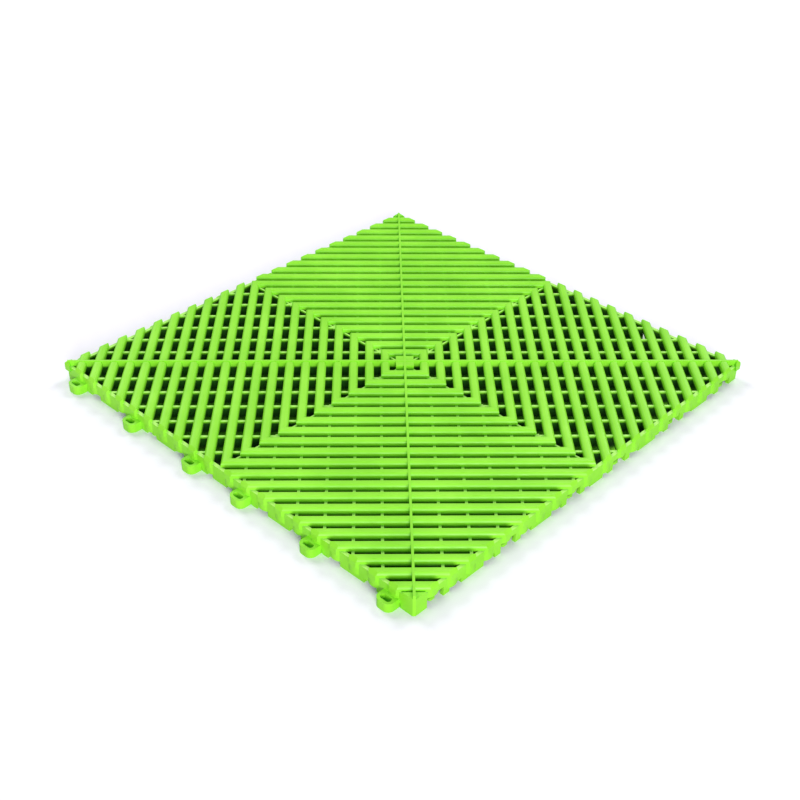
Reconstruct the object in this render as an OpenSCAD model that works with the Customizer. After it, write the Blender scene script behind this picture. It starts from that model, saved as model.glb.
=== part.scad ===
// Interlocking vented floor tile, 400 mm square and 18 mm high, moulded in one piece.
// Slanted ribs form square rings turned 45 degrees to the sides, on a lattice of thin webs.
// Two neighbouring sides carry slotted loops, the other two the pegs that drop into such loops.
// The tile lies on the plane z = 0 with its centre on the z axis. The loops look towards -x and +y.

/* [Tile] */
// side of the square body, without the loops
tile_size = 400; // [390:5:410]
// height from the floor to the top of the two spines
tile_height = 18; // [17:0.5:22]
// thickness of the wall that runs round the body
rim_thickness = 3; // [2.4:0.2:3.4]
// how far the rim stays below the spines
rim_drop = 4.5; // [3.5:0.5:5]
// how far the rounded rib ends stand out from the rim
rim_inset = 1.6; // [1.2:0.1:1.8]
// legs of the solid triangle in the near and far corners
corner_leg = 11; // [8:0.5:11]
// how far that triangle stays below the spines
corner_drop = 3; // [2:0.5:4]
// how much the tips of the corners are cut back along the diagonals
corner_cut = 1; // [0.8:0.1:2]

/* [Ribs] */
// ribs between the centre block and each corner
rib_count = 20; // [19:1:21]
// distance along the diagonal from the tile's centre to the first rib
first_rib = 16.2; // [15.4:0.1:17]
// distance along the diagonal from the last rib to the corner
corner_gap = 15.5; // [15:0.1:16]
// distance along the diagonal from the middle of the cap on a corner to the corner
cap_gap = 2.282; // [1.982:0.1:2.982]
// width of a rib
rib_width = 7.2; // [6.4:0.2:7.4]
// height of a rib
rib_height = 7.5; // [7:0.5:8]
// radius of the gentle crown on top of a rib
crown_round = 12; // [10:1:14]
// radius of the rounding along both edges of a rib
edge_round = 3.9; // [3.9:0.1:4.2]
// how far that rounding would reach above the crown
edge_above = 0.4; // [0.3:0.1:0.6]
// radius of the rounding at the ends of a rib, seen from above
end_round = 7; // [6.8:0.1:7.4]
// distance along a rib from the side of the tile back to the middle of that rounding
end_back = 6; // [5.5:0.1:6.4]
// radius at which the rib ends bend down over the side
side_round = 6; // [5.8:0.1:6.4]
// how far that bend would reach past the side
bend_past = 0.4; // [0.3:0.1:0.6]
// how far that bend would reach above the ribs
bend_above = 0.8; // [0.6:0.1:1]
// how far the ribs stay below the spines
rib_drop = 0.4; // [0.2:0.1:1]
// side of the square block in the middle
centre_block = 14.8; // [12:0.2:16]

/* [Webs] */
// distance between cross webs
web_spacing = 20; // [18:0.5:24]
// cross webs on each side of a spine
web_count = 6; // [4:1:6]
// thickness of the cross webs
web_thickness = 2.2; // [1.6:0.2:3]
// thickness of the webs on the middle lines
middle_web = 1.6; // [1.2:0.1:2.4]
// how far the cross webs stay below the spines
web_drop = 4.5; // [3.5:0.5:5.5]
// thickness of the spines on the diagonals
spine_thickness = 1.8; // [1.4:0.2:2.4]

/* [Waves] */
// radius of the shallow waves in the wall under the rib ends
wave_round = 9; // [8:0.5:10]
// how far the waves stay behind the rib ends
wave_inset = 0.15; // [0.1:0.05:0.3]
// how much nearer to the corner than its rib a wave sits, along the diagonal
wave_shift = 1.3; // [1:0.1:1.6]

/* [Skirt] */
// clearance for water under the rim, between the feet
drain_height = 4; // [2:0.5:5]
// length of the foot halfway between two loops
foot_length = 23; // [16:1:26]
// length of the foot in the middle of each side
middle_foot_length = 16; // [12:1:20]
// length of the small feet beside each loop
side_foot_length = 6; // [4:0.5:9]

/* [Loops] */
// ribs from the corner to the first loop
loop_first = 1; // [1:1:1]
// ribs from one loop to the next
loop_step = 4; // [4:1:4]
// loops or pegs on each half of a side
loops_per_half = 3; // [2:1:3]
// length of a loop along the side
loop_length = 14; // [13.5:0.5:14.5]
// how far a loop stands out from the side
loop_reach = 8.5; // [8:0.5:10]
// height of a loop
loop_height = 7.5; // [6:0.5:7.5]
// radius of the outer corners of a loop
loop_corner = 5; // [3:0.5:6]
// length of the slot in a loop
slot_length = 9; // [8.6:0.2:9.4]
// width of the slot in a loop
slot_width = 4.6; // [4.2:0.2:5]
// distance from the side of the body to the middle of a slot
slot_offset = 3.8; // [3.6:0.1:4.2]

/* [Pegs] */
// length of a peg along the side
peg_length = 6; // [5:0.5:7]
// thickness of a peg
peg_thickness = 3.6; // [3:0.2:4]
// gap between a peg and the floor
peg_clearance = 0.5; // [0.5:0.5:2]
// play above a loop in the pocket that takes it
pocket_play = 0.5; // [0.3:0.1:0.6]
// play between a loop and its pocket on each side
pocket_side_play = 1; // [0.5:0.25:1.25]
// thickness of the shelf above a pocket, from which the peg hangs
shelf_thickness = 2.5; // [2:0.5:3]

/* [Hidden] */
plastic = [0.55, 0.93, 0.22];
half = tile_size / 2;
half_diagonal = half * sqrt(2);
rim_half = half - rim_inset;
overlap = 1;
rib_pitch = (half_diagonal - first_rib - corner_gap) / (rib_count - 1);
edge_pitch = rib_pitch * sqrt(2);
rib_top = tile_height - rib_drop;
rib_bottom = rib_top - rib_height;
crown_width = rib_width + 0.2;
edge_axis_height = rib_top + edge_above - edge_round;
rim_top = tile_height - rim_drop;
corner_top = tile_height - corner_drop;
web_top = tile_height - web_drop;
pocket_length = loop_length + 2 * pocket_side_play;
pocket_depth = loop_reach + rim_thickness;
pocket_height = loop_height + pocket_play;
shelf_depth = slot_offset + peg_thickness;
side_foot_start = pocket_length / 2;
loop_spacing = loop_step * edge_pitch;
first_loop = corner_gap * sqrt(2) + (loop_first - 1) * edge_pitch;
bend_axis = half - side_round + bend_past;
bend_axis_height = rib_top + bend_above - side_round;
ribs_at_side = floor(rib_count / 2);
round_fn = 48;
crown_fn = 120;
tip_fn = 720;

// places of the loops and pegs along a side, measured from its middle
loop_places = [
    for (side = [-1, 1], i = [0 : loops_per_half - 1])
        side * (half - first_loop - i * loop_spacing)
];
// places of the feet between two loops, measured from the middle of the side
foot_places = [
    for (side = [-1, 1], i = [0 : loops_per_half - 2])
        side * (half - first_loop - (i + 0.5) * loop_spacing)
];

// distance from the middle of the tile to a rib, the cap on the corner coming after the last one
function rib_place(i) =
    i < rib_count ? first_rib + i * rib_pitch : half_diagonal - cap_gap;

// turns a child that looks towards +x to each corner of the tile
module to_corners() {
    for (turn = [0 : 3]) rotate(90 * turn + 45) children();
}

// outline of the square body with its corner tips cut back
module body_outline(edge) {
    intersection() {
        square(2 * edge, center = true);
        circle(edge * sqrt(2) - corner_cut, $fn = tip_fn);
    }
}

// outline of the ribs of one corner, seen from above, with round ends at the sides
module rib_outline(count) {
    for (i = [0 : count - 1]) {
        s = rib_place(i);
        reaches_side = s + rib_width / 2 > half_diagonal / 2;
        end = half_diagonal - s - end_back;
        intersection() {
            translate([s - rib_width / 2, -half_diagonal])
                square([rib_width, 2 * half_diagonal]);
            if (reaches_side && i < rib_count) {
                translate([s - rib_width, -end]) square([2 * rib_width, 2 * end]);
                for (side = [-1, 1])
                    translate([s, side * end]) circle(end_round, $fn = round_fn);
            } else {
                translate([s - rib_width, -s - rib_width])
                    square([2 * rib_width, 2 * (s + rib_width)]);
            }
        }
    }
}

// round-topped bars over the rib outline of one corner
module rib_crowns(count) {
    for (i = [0 : count - 1]) {
        s = rib_place(i);
        translate([s, 0, 0]) rotate([90, 0, 0])
            linear_extrude(2 * half_diagonal, center = true) intersection() {
                translate([-crown_width / 2, rib_bottom - overlap])
                    square([crown_width, rib_height + 2 * overlap]);
                translate([0, rib_top - crown_round]) circle(crown_round, $fn = crown_fn);
                union() {
                    translate([0, edge_axis_height]) circle(edge_round, $fn = round_fn);
                    translate([-crown_width, rib_bottom - overlap])
                        square([2 * crown_width, edge_axis_height + overlap - rib_bottom]);
                }
            }
    }
}

// space under the bend with which the ribs end at one side, drawn on the side towards +x
module side_bend() {
    rotate([90, 0, 0]) linear_extrude(4 * half, center = true) {
        translate([-half, 0]) square([half + bend_axis, tile_height + overlap]);
        translate([-half, 0]) square([2 * half + overlap, bend_axis_height]);
        translate([bend_axis, bend_axis_height]) circle(side_round, $fn = round_fn);
    }
}

// ribs of one quarter of the tile, mitred on the middle lines
module rib_quarter(count) {
    intersection() {
        translate([0, 0, rib_bottom]) linear_extrude(rib_height + overlap) intersection() {
            rotate(-45) square(half);
            circle(half_diagonal - corner_cut, $fn = tip_fn);
            rib_outline(count);
        }
        rib_crowns(count);
        rotate(-45) side_bend();
        rotate(45) side_bend();
    }
}

// thin webs across the ribs of one quarter
module web_quarter_outline() {
    for (side = [-1, 1], i = [1 : web_count]) {
        t = side * i * web_spacing;
        translate([abs(t) - web_thickness, t - web_thickness / 2])
            square([half_diagonal - 2 * abs(t) + 2 * web_thickness, web_thickness]);
    }
}

module webs() {
    linear_extrude(web_top) intersection() {
        square(2 * rim_half - rim_thickness, center = true);
        to_corners() web_quarter_outline();
    }
    translate([0, 0, drain_height]) linear_extrude(web_top - drain_height)
        for (turn = [0, 90]) rotate(turn)
            square([2 * rim_half - rim_thickness, middle_web], center = true);
}

module spines() {
    linear_extrude(tile_height) intersection() {
        body_outline(rim_half);
        for (turn = [45, 135]) rotate(turn)
            square([2 * half_diagonal, spine_thickness], center = true);
    }
}

module centre() {
    translate([0, 0, rib_top / 2]) rotate(45)
        cube([centre_block, centre_block, rib_top], center = true);
}

// wall along one side, drawn on the side that looks towards +x, with its feet
module side_wall() {
    translate([rim_half - rim_thickness, 0, 0]) rotate([90, 0, 90]) linear_extrude(rim_thickness) {
        translate([-rim_half, drain_height]) square([2 * rim_half, rim_top - drain_height]);
        for (side = [-1, 1])
            translate([side * (rim_half - corner_leg / 2), rim_top / 2])
                square([corner_leg, rim_top], center = true);
        for (y = foot_places)
            translate([y - foot_length / 2, 0]) square([foot_length, drain_height + overlap]);
        translate([-middle_foot_length / 2, 0])
            square([middle_foot_length, drain_height + overlap]);
        for (y = loop_places, side = [-1, 1])
            translate([y + side * (side_foot_start + side_foot_length / 2), rim_top / 2])
                square([side_foot_length, rim_top], center = true);
    }
}

// shallow waves in the outer face of one wall, one under each rib end
module side_waves() {
    translate([0, 0, drain_height]) linear_extrude(rim_top - drain_height)
        intersection() {
            translate([rim_half - rim_thickness / 2, -rim_half])
                square([rim_thickness / 2 + rim_inset, 2 * rim_half]);
            for (side = [-1, 1], i = [0 : ribs_at_side - 1]) {
                y = half - (corner_gap - wave_shift + i * rib_pitch) * sqrt(2);
                translate([half - wave_inset - wave_round, side * y])
                    circle(wave_round, $fn = round_fn);
            }
        }
}

// turns a child from the side towards +x to the sides towards -x and +y
module on_loop_sides() {
    for (turn = [90, 180]) rotate(turn) children();
}

// turns a child from the side towards +x to the sides towards -y and +x
module on_peg_sides() {
    for (turn = [-90, 0]) rotate(turn) children();
}

// shelf inside the wall, above the height of a loop
module shelf(y) {
    translate([half - shelf_depth, y - pocket_length / 2, pocket_height])
        cube([shelf_depth - rim_inset - rim_thickness / 2, pocket_length, shelf_thickness]);
}

module loop_ring(y) {
    translate([half, y, 0]) linear_extrude(loop_height) difference() {
        union() {
            translate([-rim_thickness, -loop_length / 2])
                square([rim_thickness + loop_reach - loop_corner, loop_length]);
            translate([0, -loop_length / 2 + loop_corner])
                square([loop_reach, loop_length - 2 * loop_corner]);
            for (side = [-1, 1])
                translate([loop_reach - loop_corner, side * (loop_length / 2 - loop_corner)])
                    circle(loop_corner, $fn = round_fn);
        }
        translate([slot_offset, 0]) {
            square([slot_width, slot_length - slot_width], center = true);
            for (side = [-1, 1])
                translate([0, side * (slot_length - slot_width) / 2])
                    circle(d = slot_width, $fn = round_fn);
        }
    }
}

module peg(y) {
    translate([half - slot_offset - peg_thickness / 2, y, peg_clearance])
        linear_extrude(pocket_height + overlap - peg_clearance) {
            square([peg_thickness, peg_length - peg_thickness], center = true);
            for (side = [-1, 1])
                translate([0, side * (peg_length - peg_thickness) / 2])
                    circle(d = peg_thickness, $fn = round_fn);
        }
}

module pocket(y) {
    translate([half - pocket_depth, y - pocket_length / 2, -overlap])
        cube([pocket_depth + overlap, pocket_length, pocket_height + overlap]);
}

// solid triangle in the corner that looks towards +x and +y
module corner_fill() {
    linear_extrude(corner_top) intersection() {
        body_outline(rim_half);
        polygon([
            [rim_half, rim_half],
            [rim_half - corner_leg, rim_half],
            [rim_half, rim_half - corner_leg]
        ]);
    }
}

module floor_tile() {
    color(plastic) {
        difference() {
            union() {
                webs();
                spines();
                centre();
                intersection() {
                    linear_extrude(rim_top) body_outline(rim_half);
                    for (turn = [0 : 3]) rotate(90 * turn) side_wall();
                }
                for (turn = [0 : 3]) rotate(90 * turn) side_waves();
                for (turn = [0, 180]) rotate(turn) corner_fill();
                on_loop_sides() for (y = loop_places) shelf(y);
            }
            on_peg_sides() for (y = loop_places) pocket(y);
        }
        for (turn = [0 : 3]) rotate(90 * turn + 45)
            rib_quarter(turn == 2 ? rib_count : rib_count + 1);
        on_loop_sides() for (y = loop_places) loop_ring(y);
        on_peg_sides() for (y = loop_places) {
            shelf(y);
            peg(y);
        }
    }
}

floor_tile();
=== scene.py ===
import bpy
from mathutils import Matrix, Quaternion, Vector

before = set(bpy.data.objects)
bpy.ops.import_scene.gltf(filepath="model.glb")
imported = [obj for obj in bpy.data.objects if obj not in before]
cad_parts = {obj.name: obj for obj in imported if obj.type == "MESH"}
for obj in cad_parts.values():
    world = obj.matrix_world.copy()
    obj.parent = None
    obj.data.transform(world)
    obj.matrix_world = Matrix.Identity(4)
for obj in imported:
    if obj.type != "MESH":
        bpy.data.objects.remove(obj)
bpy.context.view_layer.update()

# Camera: place and direction in metres, lens for a 36 mm wide square picture.
CAMERA_PLACE = Vector((-0.6131, -0.57615, 0.55819))
CAMERA_FORWARD = Vector((0.59747, 0.56618, -0.56787))
CAMERA_ROLL = 0.0142
CAMERA_LENS = 54.0
SENSOR_WIDTH = 36.0

# Plastic, as linear colours.
LIME = (0.287, 0.80, 0.028, 1.0)
LIME_PALE = (0.33, 0.86, 0.042, 1.0)
LIME_DEEP = (0.245, 0.73, 0.02, 1.0)
PLASTIC_ROUGHNESS = 0.42
PLASTIC_IOR = 1.49
SPECULAR_LEVEL = 0.45

# Painted shade between the webs: share of the base colour left, and the heights between which it fades.
PAINTED_SHADE_TINT = (0.03, 0.11, 0.015, 1.0)
CAVITY_TOP = 0.0136
CAVITY_FULL_TOP = 0.0112
CAVITY_FULL_LOW = 0.0050
CAVITY_LOW = 0.0010
INSIDE_FULL = 0.1950
INSIDE_END = 0.1975
UNDERSIDE_START = -0.5
UNDERSIDE_FULL = -0.9

# Painted highlight on the thin level tops of the webs and the wall: height, band and share.
PAINTED_HIGHLIGHT_COLOUR = (0.56, 0.92, 0.22, 1.0)
EDGE_HEIGHT = 0.0135
EDGE_BAND = 0.0003
EDGE_SHARE = 0.6
UPWARD_START = 0.80
UPWARD_FULL = 0.97

# Floor: what the camera sees of it is nearly all lit surface, with a trace of its own white.
FLOOR_HALF = 3.0
FLOOR_GREY = (0.62, 0.62, 0.64, 1.0)
FLOOR_LIT_SHARE = (0.955, 0.93, 1.0, 1.0)
FLOOR_OWN_WHITE = (0.04, 0.04, 0.05, 1.0)


def new_tree(material):
    """Gives the material an empty node tree and returns its nodes and links."""
    material.use_nodes = True
    tree = material.node_tree
    tree.nodes.clear()
    return tree.nodes, tree.links


def fade(nodes, links, source, start, end):
    """A value that runs from 0 at start to 1 at end."""
    step = nodes.new("ShaderNodeMapRange")
    step.interpolation_type = "SMOOTHSTEP"
    step.inputs["From Min"].default_value = start
    step.inputs["From Max"].default_value = end
    links.new(source, step.inputs["Value"])
    return step.outputs["Result"]


def combine(nodes, links, operation, first, second):
    node = nodes.new("ShaderNodeMath")
    node.operation = operation
    links.new(first, node.inputs[0])
    if second is not None:
        links.new(second, node.inputs[1])
    return node.outputs["Value"]


def upward_part(nodes, links):
    """How far a face looks up: 1 on level tops, 0 on walls, -1 on faces that look down."""
    surface = nodes.new("ShaderNodeNewGeometry")
    normal = nodes.new("ShaderNodeSeparateXYZ")
    links.new(surface.outputs["True Normal"], normal.inputs["Vector"])
    return normal.outputs["Z"]


def painted_shade_mask(nodes, links, place):
    """Mask of the painted shade: 1 deep between the webs, 0 near the tops and the floor, on outer faces
    and on undersides.
    """
    axes = nodes.new("ShaderNodeSeparateXYZ")
    links.new(place.outputs["Object"], axes.inputs["Vector"])
    from_top = fade(nodes, links, axes.outputs["Z"], CAVITY_TOP, CAVITY_FULL_TOP)
    from_low = fade(nodes, links, axes.outputs["Z"], CAVITY_LOW, CAVITY_FULL_LOW)
    deep = combine(nodes, links, "MULTIPLY", from_top, from_low)
    wide_x = combine(nodes, links, "ABSOLUTE", axes.outputs["X"], None)
    wide_y = combine(nodes, links, "ABSOLUTE", axes.outputs["Y"], None)
    widest = combine(nodes, links, "MAXIMUM", wide_x, wide_y)
    inside = fade(nodes, links, widest, INSIDE_END, INSIDE_FULL)
    enclosed = combine(nodes, links, "MULTIPLY", deep, inside)
    not_under = fade(nodes, links, upward_part(nodes, links), UNDERSIDE_FULL, UNDERSIDE_START)
    return combine(nodes, links, "MULTIPLY", enclosed, not_under)


def painted_highlight_mask(nodes, links, place):
    """Share of the painted highlight: on the level tops of the webs and the wall, and nowhere else."""
    axes = nodes.new("ShaderNodeSeparateXYZ")
    links.new(place.outputs["Object"], axes.inputs["Vector"])
    height = axes.outputs["Z"]
    above = fade(nodes, links, height, EDGE_HEIGHT - 2 * EDGE_BAND, EDGE_HEIGHT - EDGE_BAND)
    below = fade(nodes, links, height, EDGE_HEIGHT + 2 * EDGE_BAND, EDGE_HEIGHT + EDGE_BAND)
    level = combine(nodes, links, "MULTIPLY", above, below)
    upward = fade(nodes, links, upward_part(nodes, links), UPWARD_START, UPWARD_FULL)
    mask = combine(nodes, links, "MULTIPLY", level, upward)
    share = nodes.new("ShaderNodeMath")
    share.operation = "MULTIPLY"
    share.inputs[1].default_value = EDGE_SHARE
    links.new(mask, share.inputs[0])
    return share.outputs["Value"]


def plastic_material():
    """Moulded polypropylene: lime colour with faint mottling, painted shade between the webs, a painted
    highlight on the web and wall tops, satin skin with a fine grain.
    """
    material = bpy.data.materials.new("lime_plastic")
    nodes, links = new_tree(material)
    out = nodes.new("ShaderNodeOutputMaterial")
    shader = nodes.new("ShaderNodeBsdfPrincipled")
    shader.inputs["IOR"].default_value = PLASTIC_IOR
    shader.inputs["Metallic"].default_value = 0.0
    shader.inputs["Specular IOR Level"].default_value = SPECULAR_LEVEL
    links.new(shader.outputs["BSDF"], out.inputs["Surface"])

    place = nodes.new("ShaderNodeTexCoord")

    # Flow marks: broad, weak changes of tone along the moulding.
    flow = nodes.new("ShaderNodeTexNoise")
    flow.inputs["Scale"].default_value = 22.0
    flow.inputs["Detail"].default_value = 3.0
    flow.inputs["Roughness"].default_value = 0.55
    links.new(place.outputs["Object"], flow.inputs["Vector"])
    tone = nodes.new("ShaderNodeValToRGB")
    tone.color_ramp.elements[0].position = 0.28
    tone.color_ramp.elements[0].color = LIME_DEEP
    tone.color_ramp.elements[1].position = 0.72
    tone.color_ramp.elements[1].color = LIME_PALE
    middle = tone.color_ramp.elements.new(0.5)
    middle.color = LIME
    links.new(flow.outputs["Fac"], tone.inputs["Fac"])

    # Painted shade: the colour is darkened between the webs, where the light is lost.
    shade_paint = nodes.new("ShaderNodeMix")
    shade_paint.data_type = "RGBA"
    shade_paint.blend_type = "MULTIPLY"
    shade_paint.inputs[7].default_value = PAINTED_SHADE_TINT
    links.new(painted_shade_mask(nodes, links, place), shade_paint.inputs[0])
    links.new(tone.outputs["Color"], shade_paint.inputs[6])
    # Painted highlight: the level tops of the webs and the wall are lightened to a pale tone.
    pale = nodes.new("ShaderNodeMix")
    pale.data_type = "RGBA"
    pale.inputs[7].default_value = PAINTED_HIGHLIGHT_COLOUR
    links.new(painted_highlight_mask(nodes, links, place), pale.inputs[0])
    links.new(shade_paint.outputs[2], pale.inputs[6])
    links.new(pale.outputs[2], shader.inputs["Base Color"])

    # Satin skin: roughness wanders a little with a finer noise.
    skin = nodes.new("ShaderNodeTexNoise")
    skin.inputs["Scale"].default_value = 160.0
    skin.inputs["Detail"].default_value = 4.0
    links.new(place.outputs["Object"], skin.inputs["Vector"])
    satin = nodes.new("ShaderNodeMapRange")
    satin.inputs["From Min"].default_value = 0.3
    satin.inputs["From Max"].default_value = 0.7
    satin.inputs["To Min"].default_value = PLASTIC_ROUGHNESS - 0.06
    satin.inputs["To Max"].default_value = PLASTIC_ROUGHNESS + 0.08
    links.new(skin.outputs["Fac"], satin.inputs["Value"])
    links.new(satin.outputs["Result"], shader.inputs["Roughness"])

    # Spark-eroded mould grain, under half a millimetre across.
    grain = nodes.new("ShaderNodeTexNoise")
    grain.inputs["Scale"].default_value = 2200.0
    grain.inputs["Detail"].default_value = 2.0
    links.new(place.outputs["Object"], grain.inputs["Vector"])
    bump = nodes.new("ShaderNodeBump")
    bump.inputs["Strength"].default_value = 0.25
    bump.inputs["Distance"].default_value = 0.00008
    links.new(grain.outputs["Fac"], bump.inputs["Height"])
    links.new(bump.outputs["Normal"], shader.inputs["Normal"])
    return material


def floor_material():
    """White floor that keeps a soft shadow: other rays see a plain pale floor."""
    material = bpy.data.materials.new("studio_floor")
    nodes, links = new_tree(material)
    out = nodes.new("ShaderNodeOutputMaterial")
    plain = nodes.new("ShaderNodeBsdfDiffuse")
    plain.inputs["Color"].default_value = FLOOR_GREY
    lit = nodes.new("ShaderNodeBsdfDiffuse")
    lit.inputs["Color"].default_value = FLOOR_LIT_SHARE
    own = nodes.new("ShaderNodeEmission")
    own.inputs["Color"].default_value = FLOOR_OWN_WHITE
    own.inputs["Strength"].default_value = 1.0
    seen = nodes.new("ShaderNodeAddShader")
    links.new(lit.outputs["BSDF"], seen.inputs[0])
    links.new(own.outputs["Emission"], seen.inputs[1])
    path = nodes.new("ShaderNodeLightPath")
    choose = nodes.new("ShaderNodeMixShader")
    links.new(path.outputs["Is Camera Ray"], choose.inputs["Fac"])
    links.new(plain.outputs["BSDF"], choose.inputs[1])
    links.new(seen.outputs["Shader"], choose.inputs[2])
    links.new(choose.outputs["Shader"], out.inputs["Surface"])
    return material


def add_floor():
    half = FLOOR_HALF
    mesh = bpy.data.meshes.new("studio_floor")
    mesh.from_pydata(
        [(-half, -half, 0.0), (half, -half, 0.0), (half, half, 0.0), (-half, half, 0.0)],
        [],
        [(0, 1, 2, 3)],
    )
    mesh.materials.append(floor_material())
    floor = bpy.data.objects.new("studio_floor", mesh)
    bpy.context.scene.collection.objects.link(floor)
    return floor


def add_camera():
    data = bpy.data.cameras.new("photo_camera")
    data.sensor_fit = "HORIZONTAL"
    data.sensor_width = SENSOR_WIDTH
    data.lens = CAMERA_LENS
    data.clip_start = 0.01
    data.clip_end = 20.0
    camera = bpy.data.objects.new("photo_camera", data)
    camera.location = CAMERA_PLACE
    camera.rotation_mode = "QUATERNION"
    level = CAMERA_FORWARD.to_track_quat("-Z", "Y")
    camera.rotation_quaternion = level @ Quaternion((0.0, 0.0, 1.0), CAMERA_ROLL)
    bpy.context.scene.collection.objects.link(camera)
    bpy.context.scene.camera = camera
    return camera


def add_softbox(name, place, size, power, colour):
    """A square soft light that looks at the middle of the tile."""
    data = bpy.data.lights.new(name, "AREA")
    data.shape = "SQUARE"
    data.size = size
    data.energy = power
    data.color = colour
    lamp = bpy.data.objects.new(name, data)
    lamp.location = place
    lamp.rotation_mode = "QUATERNION"
    lamp.rotation_quaternion = (-Vector(place)).to_track_quat("-Z", "Y")
    bpy.context.scene.collection.objects.link(lamp)
    return lamp


def set_world():
    """Even pale light all round, seen as plain white by the camera."""
    world = bpy.data.worlds.new("studio_world")
    bpy.context.scene.world = world
    world.use_nodes = True
    nodes = world.node_tree.nodes
    links = world.node_tree.links
    nodes.clear()
    out = nodes.new("ShaderNodeOutputWorld")
    light = nodes.new("ShaderNodeBackground")
    light.inputs["Color"].default_value = (0.92, 0.95, 1.0, 1.0)
    light.inputs["Strength"].default_value = 0.38
    white = nodes.new("ShaderNodeBackground")
    white.inputs["Color"].default_value = (1.0, 1.0, 1.0, 1.0)
    white.inputs["Strength"].default_value = 1.0
    path = nodes.new("ShaderNodeLightPath")
    choose = nodes.new("ShaderNodeMixShader")
    links.new(path.outputs["Is Camera Ray"], choose.inputs["Fac"])
    links.new(light.outputs["Background"], choose.inputs[1])
    links.new(white.outputs["Background"], choose.inputs[2])
    links.new(choose.outputs["Shader"], out.inputs["Surface"])


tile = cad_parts["floor_tile"]
plastic = plastic_material()
for slot in tile.material_slots:
    slot.material = plastic

add_floor()
add_camera()
add_softbox("back_right_softbox", (2.6, 0.2, 2.5), 1.5, 51.0, (1.0, 0.99, 0.97))
add_softbox("back_left_softbox", (0.2, 2.6, 2.5), 1.5, 51.0, (1.0, 0.99, 0.97))
add_softbox("front_softbox", (-1.9, -2.6, 0.95), 1.4, 91.0, (1.0, 1.0, 1.0))
set_world()
bpy.context.scene.view_settings.view_transform = "Standard"
